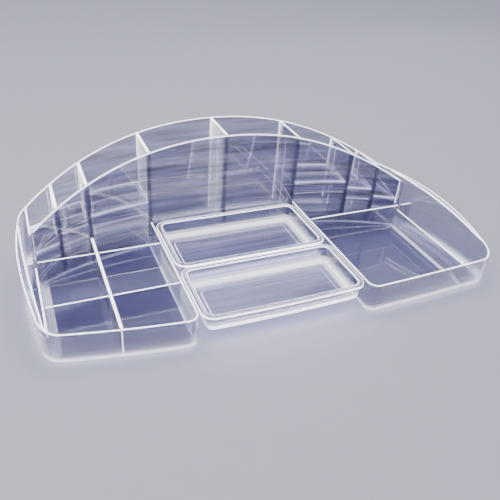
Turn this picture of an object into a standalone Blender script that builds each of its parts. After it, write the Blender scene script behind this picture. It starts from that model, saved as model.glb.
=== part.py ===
"""Clear compartment storage box with a tall curved back, two low wings and two lift-out trays.

Metres, +Z up, +Y towards the tall back, +X to the right as seen from the front.
The origin is the centre of the footprint, on the surface that the box stands on.
"""
import math

import bmesh
import bpy
from mathutils import Vector

# Heights of the tall part's crest, of the wings and of the side panels inside the wings
CENTRE_HEIGHT = 0.1076
WING_HEIGHT = 0.0296
SIDE_PANEL_HEIGHT = 0.0230

# Sheet thicknesses and the clearance between neighbouring pieces
SHELL_WALL = 0.0026
PANEL_WALL = 0.0024
FLOOR_WALL = 0.0030
JOINT_GAP = 0.0003

# Plan outline: the back and the tall front wall share one curve
BACK_Y = 0.1013
CURVE_DROP = 0.0375
CURVE_POWER = 2.9
TALL_DEPTH = 0.0485
BACK_CORNER_RADIUS = 0.0100
BAY_CORNER_RADIUS = 0.0095
FOOT_RADIUS = 0.0070

# Left end: farthest reach from the centre divider, the bulge of its side, its front wall and its side pocket
LEFT_REACH = 0.1945
LEFT_POCKET = 0.0130
LEFT_CREST_Y = -0.0050
LEFT_SIDE_RADIUS = 0.350
LEFT_FRONT_Y = -0.1019
LEFT_FRONT_RADIUS = 0.820
LEFT_CORNER_RADIUS = 0.0185

# Right end
RIGHT_REACH = 0.2118
RIGHT_POCKET = 0.0303
RIGHT_CREST_Y = -0.0750
RIGHT_SIDE_RADIUS = 0.301
RIGHT_FRONT_Y = -0.1052
RIGHT_FRONT_RADIUS = 3.400
RIGHT_CORNER_RADIUS = 0.0155

# Heights of the rim: an arch over the tall part, then a fall to the wings
ARCH_RADIUS = 0.340
LEFT_FALL_POWER = 3.5
RIGHT_FALL_POWER = 2.3

# Upright panels: the deep bays' outer dividers, then the widths of two bays inwards from the side panel
BAY_WALL_X = 0.0743
MIDDLE_BAY = 0.0271
OUTER_BAY = 0.0231

# Cross dividers in the wings
REAR_CROSS_Y = 0.0115
FRONT_CROSS_Y = -0.0494

# Raised shelves in the tall part: height of the top face and drop of the front lip
INNER_SHELF_Z = 0.0500
MIDDLE_SHELF_Z = 0.0430
OUTER_SHELF_Z = 0.0350
SHELF_LIP = 0.0130
SHELF_WALL = 0.0020

# Trays and the rails that they hang on
TRAY_WALL = 0.0020
TRAY_LIP_WIDTH = 0.0030
TRAY_LIP_THICKNESS = 0.0020
TRAY_BOTTOM_Z = 0.0120
TRAY_CORNER_RADIUS = 0.0110
TRAY_FOOT_RADIUS = 0.0070
TRAY_SIDE_CLEARANCE = 0.0010
TRAY_REAR_CLEARANCE = 0.0010
TRAY_PARTING_Y = -0.0300
TRAY_PARTING_GAP = 0.0010
TRAY_FRONT_Y = -0.1013
TRAY_FRONT_RADIUS = 1.500
RAIL_WIDTH = 0.0028
RAIL_HEIGHT = 0.0025
RAIL_END_SETBACK = 0.0160

# Facet counts
BACK_STEPS = 40
SIDE_STEPS = 14
FRONT_STEPS = 8
CORNER_STEPS = 6
FOOT_STEPS = 4
EDGE_STEPS = 10
TRAY_CORNER_STEPS = 6
TRAY_FRONT_STEPS = 8
SHELF_STEPS = 4
SOLVER_STEPS = 60

# Derived sizes
PANEL_HALF = PANEL_WALL / 2
TALL_FRONT_Y = BACK_Y - TALL_DEPTH
BAY_FACE_X = BAY_WALL_X - PANEL_HALF


class End:
    """Plan of one end of the box, with x counted outwards from the centre divider."""

    def __init__(self, reach, pocket, crest_y, side_radius, front_line, front_radius, corner_radius,
                 fall_power):
        self.reach = reach
        self.panel_x = reach - pocket
        self.fine_x = self.panel_x - OUTER_BAY
        self.middle_x = self.fine_x - MIDDLE_BAY
        self.crest_y = crest_y
        self.side_radius = side_radius
        self.front_line = front_line
        self.front_radius = front_radius
        self.corner_radius = corner_radius
        self.fall_power = fall_power
        self.path, self.index = shell_path(self)
        self.normals = path_normals(self.path)
        self.back_y = self.path[self.index["back"]].y
        self.corner_y = self.path[self.index["end"]].y
        self.back_rim_z = arch_z(self.path[self.index["back"]].x)

    def curve_y(self, x):
        """Forward drop of the back's curve at x, from its height on the centre line."""
        return -CURVE_DROP * (x / self.panel_x) ** CURVE_POWER

    def curve_face_y(self, x, line_y, offset):
        """A face parallel to the curve, offset square to it from the line through line_y."""
        slope = self.curve_y(x) * CURVE_POWER / x if x else 0
        return line_y + self.curve_y(x) + offset * math.hypot(1, slope)

    def side_x(self, y):
        return self.reach - (y - self.crest_y) ** 2 / (2 * self.side_radius)

    def front_y(self, x):
        return self.front_line + x ** 2 / (2 * self.front_radius)

    def rim_z(self, point):
        """Height of the rim over the end wall, from the back corner to the front corner."""
        share = (self.back_y - point.y) / (self.back_y - self.corner_y)
        share = max(0.0, min(1.0, share))
        return WING_HEIGHT + (self.back_rim_z - WING_HEIGHT) * (1 - share ** self.fall_power)

    def seam(self, y):
        """Index of the last point in front of y on the end wall, and the point of the wall at y."""
        for index in range(self.index["end"], len(self.path) - 1):
            start = self.path[index]
            end = self.path[index + 1]
            if start.y <= y < end.y:
                return index, start + (end - start) * ((y - start.y) / (end.y - start.y))
        return None


# Colours and finishes, linear
MATERIALS = {
    "case_clear": ((0.80, 0.82, 0.90), 0.08),
    "panel_clear": ((0.84, 0.85, 0.92), 0.06),
    "tray_clear": ((0.76, 0.78, 0.88), 0.07),
}


def clear_scene():
    for obj in list(bpy.data.objects):
        bpy.data.objects.remove(obj, do_unlink=True)


def make_materials():
    made = {}
    for name, (colour, roughness) in MATERIALS.items():
        material = bpy.data.materials.new(name)
        material.use_nodes = True
        shader = material.node_tree.nodes["Principled BSDF"]
        shader.inputs["Base Color"].default_value = (*colour, 1.0)
        shader.inputs["Roughness"].default_value = roughness
        shader.inputs["Metallic"].default_value = 0.0
        made[name] = material
    return made


# Outline of the box in plan

def tray_front_y(x):
    return TRAY_FRONT_Y + x ** 2 / (2 * TRAY_FRONT_RADIUS)


def arch_z(x):
    return CENTRE_HEIGHT - ARCH_RADIUS + math.sqrt(ARCH_RADIUS ** 2 - x ** 2)


def solve(function, low, high):
    """Root of a function that changes sign once between low and high."""
    low_sign = function(low) > 0
    for _ in range(SOLVER_STEPS):
        middle = (low + high) / 2
        if (function(middle) > 0) == low_sign:
            low = middle
        else:
            high = middle
    return (low + high) / 2


def turn_between(first, second):
    return first.angle(second)


def rounded_corner(curve_in, curve_out, at_in, at_out, radius, steps):
    """Arc that joins two curves near the corner where they cross.

    Each curve is a function of one number, and the two numbers run away from the corner.
    """
    nudge = radius / 100
    corner = curve_in(at_in)
    run_in = (curve_in(at_in) - curve_in(at_in - nudge)).normalized()
    run_out = (curve_out(at_out + nudge) - curve_out(at_out)).normalized()
    reach = radius * math.tan(turn_between(run_in, run_out) / 2)
    start = curve_in(at_in - reach)
    end = curve_out(at_out + reach)
    start_run = (curve_in(at_in - reach + nudge) - start).normalized()
    end_run = (end - curve_out(at_out + reach - nudge)).normalized()
    weight = math.cos(turn_between(start_run, end_run) / 2)
    across = start_run.x * end_run.y - start_run.y * end_run.x
    gap = end - start
    along = (gap.x * end_run.y - gap.y * end_run.x) / across if across else 0
    control = start + start_run * along if across else corner
    points = []
    for step in range(steps + 1):
        t = step / steps
        a = (1 - t) ** 2
        b = 2 * weight * t * (1 - t)
        c = t ** 2
        points.append((start * a + control * b + end * c) / (a + b + c))
    return points, at_in - reach, at_out + reach


def shell_path(side):
    """Outer face of one half of the shell, from the tray bay round to the centre of the back.

    Returns the points and the index of the first point of each wall.
    """
    front_y = side.front_y
    side_x = side.side_x
    curve_y = side.curve_y
    wall_start_y = side.curve_face_y(BAY_FACE_X, TALL_FRONT_Y, -PANEL_HALF) - JOINT_GAP

    def bay(s):
        return Vector((BAY_FACE_X, front_y(BAY_FACE_X) - s))

    def front(s):
        return Vector((BAY_FACE_X + s, front_y(BAY_FACE_X + s)))

    bay_corner, bay_end, front_start = rounded_corner(bay, front, 0, 0, BAY_CORNER_RADIUS, CORNER_STEPS)

    corner_x = solve(lambda x: side_x(front_y(x)) - x, BAY_FACE_X, side.reach)
    corner_y = front_y(corner_x)

    def front_in(s):
        return Vector((corner_x + s, front_y(corner_x + s)))

    def side_out(s):
        return Vector((side_x(corner_y + s), corner_y + s))

    front_corner, front_end, side_start = rounded_corner(
        front_in, side_out, 0, 0, side.corner_radius, CORNER_STEPS)

    back_x = solve(lambda x: side_x(BACK_Y + curve_y(x)) - x, BAY_FACE_X, side.reach)
    back_y = BACK_Y + curve_y(back_x)

    def side_in(s):
        return Vector((side_x(back_y + s), back_y + s))

    def back_out(s):
        return Vector((back_x - s, BACK_Y + curve_y(back_x - s)))

    back_corner, side_end, back_start = rounded_corner(
        side_in, back_out, 0, 0, BACK_CORNER_RADIUS, CORNER_STEPS)

    points = [Vector((BAY_FACE_X, wall_start_y))]
    points += bay_corner
    front_index = len(points) - 1
    x0 = BAY_FACE_X + front_start
    x1 = corner_x + front_end
    for step in range(1, FRONT_STEPS):
        x = x0 + (x1 - x0) * step / FRONT_STEPS
        points.append(Vector((x, front_y(x))))
    end_index = len(points)
    points += front_corner
    y0 = corner_y + side_start
    y1 = back_y + side_end
    for step in range(1, SIDE_STEPS):
        y = y0 + (y1 - y0) * step / SIDE_STEPS
        points.append(Vector((side_x(y), y)))
    back_index = len(points)
    points += back_corner
    x2 = back_x - back_start
    half_steps = BACK_STEPS // 2
    for step in range(1, half_steps + 1):
        x = x2 * (1 - step / half_steps)
        points.append(Vector((x, BACK_Y + curve_y(x))))
    return points, {"front": front_index, "end": end_index, "back": back_index}


def path_normals(points, closed=False):
    """Unit vectors to the left of the path at each point, stretched at corners to keep the offset."""
    count = len(points)
    normals = []
    for index in range(count):
        before = points[(index - 1) % count] if index or closed else None
        after = points[(index + 1) % count] if index < count - 1 or closed else None
        runs = []
        if before is not None:
            runs.append((points[index] - before).normalized())
        if after is not None:
            runs.append((after - points[index]).normalized())
        sides = [Vector((-run.y, run.x)) for run in runs]
        total = sides[0] + sides[-1]
        total.normalize()
        normals.append(total / total.dot(sides[0]))
    return normals


def offset_path(points, distance, closed=False):
    normals = path_normals(points, closed)
    return [point + normal * distance for point, normal in zip(points, normals)]


def distance_to_path(point, path):
    nearest = None
    for start, end in zip(path, path[1:]):
        run = end - start
        share = max(0.0, min(1.0, (point - start).dot(run) / run.length_squared))
        length = (point - start - run * share).length
        if nearest is None or length < nearest:
            nearest = length
    return nearest


LEFT = End(LEFT_REACH, LEFT_POCKET, LEFT_CREST_Y, LEFT_SIDE_RADIUS, LEFT_FRONT_Y, LEFT_FRONT_RADIUS,
           LEFT_CORNER_RADIUS, LEFT_FALL_POWER)
RIGHT = End(RIGHT_REACH, RIGHT_POCKET, RIGHT_CREST_Y, RIGHT_SIDE_RADIUS, RIGHT_FRONT_Y, RIGHT_FRONT_RADIUS,
            RIGHT_CORNER_RADIUS, RIGHT_FALL_POWER)


def footprint_centre():
    """Centre of the footprint, from the centre divider and the y that the sizes above count from."""
    left = max(point.x for point in LEFT.path)
    right = max(point.x for point in RIGHT.path)
    back = max(point.y for point in RIGHT.path)
    front = min(point.y for point in LEFT.path + RIGHT.path)
    return Vector(((right - left) / 2, (back + front) / 2, 0))


ORIGIN = footprint_centre()


def end_at(x):
    return LEFT if x < 0 else RIGHT


def foot_z(distance):
    """Height of the inside of the shell, square to it, at a distance from its outer face."""
    if distance >= FOOT_RADIUS:
        return FLOOR_WALL
    share = min(1.0, (FOOT_RADIUS - distance) / (FOOT_RADIUS - SHELL_WALL))
    return FOOT_RADIUS - (FOOT_RADIUS - FLOOR_WALL) * math.sqrt(1 - share ** 2)


def bottom_z(x, y):
    """Lowest height that a panel may reach at a place inside the shell."""
    return foot_z(distance_to_path(Vector((abs(x), y)), end_at(x).path) - JOINT_GAP) + JOINT_GAP


# Mesh helpers

def new_object(name, mesh_builder, material, smooth_angle=None):
    builder = bmesh.new()
    mesh_builder(builder)
    bmesh.ops.remove_doubles(builder, verts=builder.verts, dist=JOINT_GAP / 100)
    bmesh.ops.recalc_face_normals(builder, faces=builder.faces)
    bmesh.ops.translate(builder, verts=builder.verts, vec=-ORIGIN)
    mesh = bpy.data.meshes.new(name)
    builder.to_mesh(mesh)
    builder.free()
    if smooth_angle is not None:
        mesh.shade_smooth()
        mesh.set_sharp_from_angle(angle=smooth_angle)
    mesh.materials.append(material)
    obj = bpy.data.objects.new(name, mesh)
    bpy.context.scene.collection.objects.link(obj)
    return obj


def loft(builder, rings, closed_ends=True):
    """Joins rings of equal count with quads, and caps the first and the last."""
    made = [[builder.verts.new(point) for point in ring] for ring in rings]
    count = len(made[0])
    for near, far in zip(made, made[1:]):
        for index in range(count):
            following = (index + 1) % count
            builder.faces.new((near[index], near[following], far[following], far[index]))
    if closed_ends:
        builder.faces.new(made[0])
        builder.faces.new(list(reversed(made[-1])))


def foot_curves():
    """Outer and inner curves of the rounded foot as (distance from the outer face, height)."""
    outer = []
    inner = []
    for step in range(FOOT_STEPS + 1):
        angle = math.pi / 2 * step / FOOT_STEPS
        outer.append((FOOT_RADIUS * (1 - math.cos(angle)), FOOT_RADIUS * (1 - math.sin(angle))))
        depth = FOOT_RADIUS - (FOOT_RADIUS - SHELL_WALL) * math.cos(angle)
        height = FOOT_RADIUS - (FOOT_RADIUS - FLOOR_WALL) * math.sin(angle)
        inner.append((depth, height))
    return outer, inner


def shell_wall(name, points, normals, top_of, material, mirror=False):
    """Upright wall between the top of the foot and the rim."""
    low = FOOT_RADIUS + JOINT_GAP

    def build(builder):
        rings = []
        for point, normal in zip(points, normals):
            top = top_of(point)
            ring = []
            for depth, height in ((0, top), (0, low), (SHELL_WALL, low), (SHELL_WALL, top)):
                place = point + normal * depth
                ring.append(Vector((-place.x if mirror else place.x, place.y, height)))
            rings.append(ring)
        loft(builder, rings)
    return new_object(name, build, material, math.radians(40))


def dish(name, points, normals, seam, material, mirror=False):
    """Floor with a rounded foot along part of the shell, closed by an upright seam in plan.

    The seam runs on from the last point of the shell back to the first.
    """
    outer, inner = foot_curves()

    def vertex(builder, place, height):
        return builder.verts.new((-place.x if mirror else place.x, place.y, height))

    def build(builder):
        places = list(zip(points, normals))
        low_rows = [[vertex(builder, p + n * depth, z) for depth, z in outer] for p, n in places]
        high_rows = [[vertex(builder, p + n * depth, z) for depth, z in inner] for p, n in places]
        for rows in (low_rows, high_rows):
            for near, far in zip(rows, rows[1:]):
                for index in range(FOOT_STEPS):
                    builder.faces.new((near[index], near[index + 1], far[index + 1], far[index]))
        pairs = list(zip(low_rows, high_rows))
        for (low_near, high_near), (low_far, high_far) in zip(pairs, pairs[1:]):
            builder.faces.new((low_near[0], low_far[0], high_far[0], high_near[0]))
        for low_row, high_row in (pairs[0], pairs[-1]):
            builder.faces.new(low_row + list(reversed(high_row)))
        low_seam = [low_rows[-1][-1]] + [vertex(builder, p, 0) for p in seam] + [low_rows[0][-1]]
        high_seam = [high_rows[-1][-1]] + [vertex(builder, p, FLOOR_WALL) for p in seam] + [high_rows[0][-1]]
        for index in range(len(low_seam) - 1):
            builder.faces.new((low_seam[index], low_seam[index + 1], high_seam[index + 1], high_seam[index]))
        builder.faces.new([row[-1] for row in low_rows] + low_seam[1:-1])
        builder.faces.new([row[-1] for row in high_rows] + high_seam[1:-1])

    return new_object(name, build, material, math.radians(40))


def shell_slice(side, first, last, trim_first, trim_last):
    """Points and normals of one wall, cut back from its ends by half of the joint's gap."""
    points = [point.copy() for point in side.path[first:last + 1]]
    sides = [normal.copy() for normal in side.normals[first:last + 1]]
    if trim_first:
        points[0] += (points[1] - points[0]).normalized() * JOINT_GAP / 2
    if trim_last:
        points[-1] += (points[-2] - points[-1]).normalized() * JOINT_GAP / 2
    return points, sides


def plate(name, outline, low, high, material):
    """Flat plate with a plan outline between two heights."""
    def build(builder):
        loft(builder, [[Vector((point[0], point[1], z)) for point in outline] for z in (low, high)])
    return new_object(name, build, material)


def panel_across_x(name, x, thickness, profile, material):
    """Upright panel in a plane of constant x: profile(x) gives its (y, z) outline on each face."""
    def build(builder):
        rings = []
        for face_x in (x - thickness / 2, x + thickness / 2):
            rings.append([Vector((face_x, y, z)) for y, z in profile(face_x)])
        loft(builder, rings)
    return new_object(name, build, material)


def panel_across_y(name, y, thickness, profile, material):
    """Upright panel in a plane of constant y: profile(y) gives its (x, z) outline on each face."""
    def build(builder):
        rings = []
        for face_y in (y - thickness / 2, y + thickness / 2):
            rings.append([Vector((x, face_y, z)) for x, z in profile(face_y)])
        loft(builder, rings)
    return new_object(name, build, material)


# Faces that panels end on

def inner_shell_y(x, rear):
    """Inside of the shell at x, where a panel's upright edge stops, at the back or at the front."""
    path = offset_path(end_at(x).path, SHELL_WALL + JOINT_GAP)
    crossings = []
    for start, end in zip(path, path[1:]):
        low, high = sorted((start.x, end.x))
        if low <= abs(x) <= high and high > low:
            share = (abs(x) - start.x) / (end.x - start.x)
            crossings.append(start.y + (end.y - start.y) * share)
    return max(crossings) if rear else min(crossings)


def inner_shell_x(side, y):
    path = offset_path(side.path, SHELL_WALL + JOINT_GAP)[side.index["end"]:]
    crossings = []
    for start, end in zip(path, path[1:]):
        low, high = sorted((start.y, end.y))
        if low <= y <= high and high > low:
            share = (y - start.y) / (end.y - start.y)
            crossings.append(start.x + (end.x - start.x) * share)
    return max(crossings)


def tall_wall_rear_y(x):
    return end_at(x).curve_face_y(abs(x), TALL_FRONT_Y, PANEL_HALF)


def tall_wall_front_y(x):
    return end_at(x).curve_face_y(abs(x), TALL_FRONT_Y, -PANEL_HALF)


def foot_samples(start, end, reach):
    """Places along a panel's bottom edge, close together over the last stretch before its end."""
    near = end - math.copysign(reach, end - start)
    places = [start]
    for step in range(EDGE_STEPS + 1):
        places.append(near + (end - near) * step / EDGE_STEPS)
    return places


# Floors and the shell's walls

def bay_normal(turn):
    """Direction of a bay wall's rear end in plan, alongside the tall front wall."""
    foot_x = BAY_FACE_X + FOOT_RADIUS
    drop = tall_wall_front_y(turn * foot_x) - tall_wall_front_y(turn * BAY_FACE_X)
    return Vector((1, drop / FOOT_RADIUS))


def wall_line(side, turn):
    """Front face of the tall wall in plan, from a side panel to the centre, with x counted outwards."""
    half_steps = BACK_STEPS // 2
    line = []
    for step in range(half_steps + 1):
        x = side.panel_x * (1 - step / half_steps)
        line.append(Vector((x, tall_wall_front_y(turn * x))))
    return line


def make_floors(materials):
    clear = materials["case_clear"]
    foot_x = BAY_FACE_X + FOOT_RADIUS
    halves = []
    for prefix, side, turn in (("right", RIGHT, 1), ("left", LEFT, -1)):
        line = wall_line(side, turn)
        seam_y = line[0].y
        index, start = side.seam(seam_y)
        points = [start] + side.path[index + 1:]
        sides = [Vector((1 / side.normals[index].x, 0))] + side.normals[index + 1:]
        sides[-1] = Vector((0, -1))
        halves.append((points, sides, line))

        index, end = side.seam(seam_y - JOINT_GAP)
        points = side.path[:index + 1] + [end]
        sides = [bay_normal(turn)] + side.normals[1:index + 1] + [Vector((1 / side.normals[index].x, 0))]
        seam = [Vector((p.x, p.y - JOINT_GAP)) for p in line if p.x > foot_x]
        dish(prefix + "_floor", points, sides, seam, clear, side is LEFT)

    (points, sides, line), (left_points, left_sides, left_line) = halves
    points = points + [Vector((-p.x, p.y)) for p in reversed(left_points[:-1])]
    sides = sides + [Vector((-n.x, n.y)) for n in reversed(left_sides[:-1])]
    seam = [Vector((-p.x, p.y)) for p in left_line] + list(reversed(line[:-1]))
    dish("tall_floor", points, sides, seam, clear)


def make_shell(materials):
    clear = materials["case_clear"]

    def low_rim(point):
        return WING_HEIGHT

    def high_rim(point):
        return arch_z(point.x)

    halves = []
    for prefix, side in (("left", LEFT), ("right", RIGHT)):
        front = side.index["front"]
        end = side.index["end"]
        back = side.index["back"]
        mirror = side is LEFT
        points, normals = shell_slice(side, 0, front, False, True)
        normals[0] = bay_normal(-1 if mirror else 1)
        shell_wall(prefix + "_bay_wall", points, normals, low_rim, clear, mirror)
        points, normals = shell_slice(side, front, end, True, True)
        shell_wall(prefix + "_front_wall", points, normals, low_rim, clear, mirror)
        points, normals = shell_slice(side, end, back, True, True)
        shell_wall(prefix + "_end_wall", points, normals, side.rim_z, clear, mirror)
        points, normals = shell_slice(side, back, len(side.path) - 1, True, False)
        normals[-1] = Vector((0, -1))
        halves.append((points, normals))

    (left_points, left_normals), (points, normals) = halves
    points = points + [Vector((-p.x, p.y)) for p in reversed(left_points[:-1])]
    normals = normals + [Vector((-n.x, n.y)) for n in reversed(left_normals[:-1])]
    shell_wall("back_wall", points, normals, high_rim, clear)


def make_tall_front_wall(materials):
    low_x = PANEL_HALF + JOINT_GAP - LEFT.panel_x
    high_x = RIGHT.panel_x - PANEL_HALF - JOINT_GAP
    low = FLOOR_WALL + JOINT_GAP

    def build(builder):
        rings = []
        for step in range(BACK_STEPS + 1):
            x = low_x + (high_x - low_x) * step / BACK_STEPS
            top = arch_z(x)
            rear = tall_wall_rear_y(x)
            front = tall_wall_front_y(x)
            rings.append([Vector((x, front, low)), Vector((x, rear, low)),
                          Vector((x, rear, top)), Vector((x, front, top))])
        loft(builder, rings)

    new_object("tall_front_wall", build, materials["panel_clear"], math.radians(40))


# Upright panels

def tall_divider_profile(x):
    front = tall_wall_rear_y(x) + JOINT_GAP
    rear = inner_shell_y(x, True)
    outline = [(y, bottom_z(x, y)) for y in foot_samples(front, rear, FOOT_RADIUS)]
    outline.append((rear, arch_z(x)))
    outline.append((front, arch_z(x)))
    return outline


def side_panel_profile(x):
    step_y = tall_wall_front_y(x)
    rear = inner_shell_y(x, True)
    front = inner_shell_y(x, False)
    low = [(y, bottom_z(x, y)) for y in foot_samples(step_y, front, 2 * FOOT_RADIUS)]
    low.reverse()
    high = [(y, bottom_z(x, y)) for y in foot_samples(step_y, rear, rear - step_y)]
    outline = low + high[1:]
    outline.append((rear, arch_z(x)))
    outline.append((step_y, arch_z(x)))
    outline.append((step_y, SIDE_PANEL_HEIGHT))
    outline.append((front, SIDE_PANEL_HEIGHT))
    return outline


def long_divider_profile(x):
    rear = tall_wall_front_y(x) - JOINT_GAP
    front = inner_shell_y(x, False)
    outline = [(y, bottom_z(x, y)) for y in foot_samples(rear, front, FOOT_RADIUS)]
    outline.append((front, WING_HEIGHT))
    outline.append((rear, WING_HEIGHT))
    return outline


def cross_profile(near_x, far_x, turn):
    """Low cross divider between two distances from the centre divider, with x turned over on the left."""
    def profile(y):
        outline = [(turn * x, bottom_z(turn * x, y)) for x in foot_samples(far_x, near_x, FOOT_RADIUS)]
        outline.append((turn * near_x, WING_HEIGHT))
        outline.append((turn * far_x, WING_HEIGHT))
        return outline
    return profile


def pocket_profile(side, turn):
    """Short divider between the side panel and the end wall, with x turned over on the left."""
    def profile(y):
        near = side.panel_x + PANEL_HALF + JOINT_GAP
        far = inner_shell_x(side, y)
        outline = [(turn * x, bottom_z(turn * x, y)) for x in foot_samples(near, far, far - near)]
        outline.append((turn * far, WING_HEIGHT))
        outline.append((turn * near, WING_HEIGHT))
        return outline
    return profile


def make_panels(materials):
    clear = materials["panel_clear"]
    panel_across_x("divider_centre", 0, PANEL_WALL, tall_divider_profile, clear)
    for prefix, side, turn in (("left", LEFT, -1), ("right", RIGHT, 1)):
        tall = {"deep": BAY_WALL_X, "middle": side.middle_x, "fine": side.fine_x}
        for place, x in tall.items():
            name = "divider_" + prefix + "_" + place
            panel_across_x(name, turn * x, PANEL_WALL, tall_divider_profile, clear)
        panel_across_x(prefix + "_side_panel", turn * side.panel_x, PANEL_WALL, side_panel_profile, clear)
    panel_across_x("left_long_divider", -LEFT.middle_x, PANEL_WALL, long_divider_profile, clear)

    bay_x = BAY_FACE_X + SHELL_WALL + JOINT_GAP
    edge = PANEL_HALF + JOINT_GAP
    divider_in = LEFT.middle_x - edge
    divider_out = LEFT.middle_x + edge
    inner = cross_profile(bay_x, divider_in, -1)
    outer = cross_profile(divider_out, LEFT.panel_x - edge, -1)
    whole = cross_profile(bay_x, RIGHT.panel_x - edge, 1)
    panel_across_y("left_cross_rear_inner", REAR_CROSS_Y, PANEL_WALL, inner, clear)
    panel_across_y("left_cross_rear_outer", REAR_CROSS_Y, PANEL_WALL, outer, clear)
    panel_across_y("left_cross_front_inner", FRONT_CROSS_Y, PANEL_WALL, inner, clear)
    panel_across_y("left_cross_front_outer", FRONT_CROSS_Y, PANEL_WALL, outer, clear)
    panel_across_y("right_cross_divider", REAR_CROSS_Y, PANEL_WALL, whole, clear)
    panel_across_y("left_pocket_end", REAR_CROSS_Y, PANEL_WALL, pocket_profile(LEFT, -1), clear)
    panel_across_y("right_pocket_end", REAR_CROSS_Y, PANEL_WALL, pocket_profile(RIGHT, 1), clear)


def make_shelves(materials):
    """Raised shelves between neighbouring dividers: a flat plate with a lip along the tall front wall."""
    for prefix, end, side in (("left", LEFT, -1), ("right", RIGHT, 1)):
        bays = {
            "inner": (BAY_WALL_X, end.middle_x, INNER_SHELF_Z),
            "middle": (end.middle_x, end.fine_x, MIDDLE_SHELF_Z),
            "outer": (end.fine_x, end.panel_x, OUTER_SHELF_Z),
        }
        for place, (near, far, top) in bays.items():
            low_x = near + PANEL_HALF + JOINT_GAP
            high_x = far - PANEL_HALF - JOINT_GAP
            width = high_x - low_x
            places = [side * (low_x + width * step / SHELF_STEPS) for step in range(SHELF_STEPS + 1)]

            def build(builder, places=places, top=top):
                rings = []
                for x in places:
                    front = tall_wall_rear_y(x) + JOINT_GAP
                    back = front + SHELF_WALL
                    rear = inner_shell_y(x, True)
                    under = top - SHELF_WALL
                    low = top - SHELF_LIP
                    section = [(rear, top), (front, top), (front, low)]
                    section += [(back, low), (back, under), (rear, under)]
                    rings.append([Vector((x, y, z)) for y, z in section])
                loft(builder, rings)

            new_object(prefix + "_shelf_" + place, build, materials["panel_clear"])


# Rails and trays

def make_rails(materials):
    high = WING_HEIGHT - TRAY_LIP_THICKNESS - JOINT_GAP
    low = high - RAIL_HEIGHT
    outer_x = BAY_FACE_X - JOINT_GAP
    inner_x = outer_x - RAIL_WIDTH
    for prefix, side in (("left", -1), ("right", 1)):
        rear = tall_wall_front_y(side * inner_x) - 2 * JOINT_GAP
        front = end_at(side).front_y(inner_x) + RAIL_END_SETBACK
        near_x = side * inner_x
        far_x = side * outer_x
        outline = [(near_x, front), (far_x, front), (far_x, rear), (near_x, rear)]
        plate(prefix + "_rail", outline, low, high, materials["case_clear"])


def tray_outline(half_x, low_y_of, high_y):
    """Rim of a tray in plan, anticlockwise, with rounded corners and a front that may curve."""
    radius = TRAY_CORNER_RADIUS
    points = []

    def arc(centre, start):
        for step in range(TRAY_CORNER_STEPS + 1):
            angle = math.radians(start) + math.pi / 2 * step / TRAY_CORNER_STEPS
            across = radius * math.cos(angle)
            along = radius * math.sin(angle)
            points.append(Vector((centre[0] + across, centre[1] + along)))

    inner_x = half_x - radius
    arc((inner_x, high_y - radius), 0)
    arc((-inner_x, high_y - radius), 90)
    arc((-inner_x, low_y_of(inner_x) + radius), 180)
    for step in range(1, TRAY_FRONT_STEPS):
        x = inner_x * (2 * step / TRAY_FRONT_STEPS - 1)
        points.append(Vector((x, low_y_of(x))))
    arc((inner_x, low_y_of(inner_x) + radius), 270)
    return points


def ring_solid(name, outline, section, material):
    """Closed band round an outline, from a section of (distance inside the outline, height)."""
    def build(builder):
        rings = []
        for depth, height in section + section[:1]:
            rings.append([Vector((p.x, p.y, height)) for p in offset_path(outline, depth, True)])
        loft(builder, rings, False)
    return new_object(name, build, material, math.radians(40))


def make_tray(prefix, outline, materials):
    top = WING_HEIGHT
    lip = TRAY_LIP_WIDTH
    rim_low = top - TRAY_LIP_THICKNESS
    rim_in = lip + TRAY_WALL
    ring_solid(prefix + "_rim", outline, [(0, top), (0, rim_low), (rim_in, rim_low), (rim_in, top)],
               materials["tray_clear"])

    wall_top = rim_low - JOINT_GAP
    low = TRAY_BOTTOM_Z
    foot = TRAY_FOOT_RADIUS
    inner_foot = foot - TRAY_WALL
    section = [(lip, wall_top)]
    inside = []
    for step in range(FOOT_STEPS + 1):
        angle = math.pi / 2 * step / FOOT_STEPS
        section.append((lip + foot * (1 - math.cos(angle)), low + foot * (1 - math.sin(angle))))
        inside.append((lip + foot - inner_foot * math.cos(angle), low + foot - inner_foot * math.sin(angle)))
    inside.reverse()
    inside.append((rim_in, wall_top))

    def build(builder):
        def ring(depth, height):
            return [builder.verts.new((p.x, p.y, height)) for p in offset_path(outline, depth, True)]

        def bridge(near, far):
            for index in range(len(outline)):
                following = (index + 1) % len(outline)
                builder.faces.new((near[index], near[following], far[following], far[index]))

        outer = [ring(depth, height) for depth, height in section]
        inner = [ring(depth, height) for depth, height in inside]
        for near, far in zip(outer, outer[1:]):
            bridge(near, far)
        builder.faces.new(outer[-1])
        builder.faces.new(list(reversed(inner[0])))
        for near, far in zip(inner, inner[1:]):
            bridge(near, far)
        bridge(inner[-1], outer[0])

    new_object(prefix + "_pan", build, materials["tray_clear"], math.radians(40))


def make_trays(materials):
    half_x = BAY_FACE_X - TRAY_SIDE_CLEARANCE
    rear_y = min(tall_wall_front_y(half_x), tall_wall_front_y(-half_x)) - TRAY_REAR_CLEARANCE
    rear_front = TRAY_PARTING_Y + TRAY_PARTING_GAP / 2
    front_rear = TRAY_PARTING_Y - TRAY_PARTING_GAP / 2
    make_tray("rear_tray", tray_outline(half_x, lambda x: rear_front, rear_y), materials)
    make_tray("front_tray", tray_outline(half_x, tray_front_y, front_rear), materials)


def main():
    clear_scene()
    materials = make_materials()
    make_floors(materials)
    make_shell(materials)
    make_tall_front_wall(materials)
    make_panels(materials)
    make_shelves(materials)
    make_rails(materials)
    make_trays(materials)


main()
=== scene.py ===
"""Clear compartment storage box: moulded case, dividers, shelves, rails and two lift-out trays."""
import math

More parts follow.
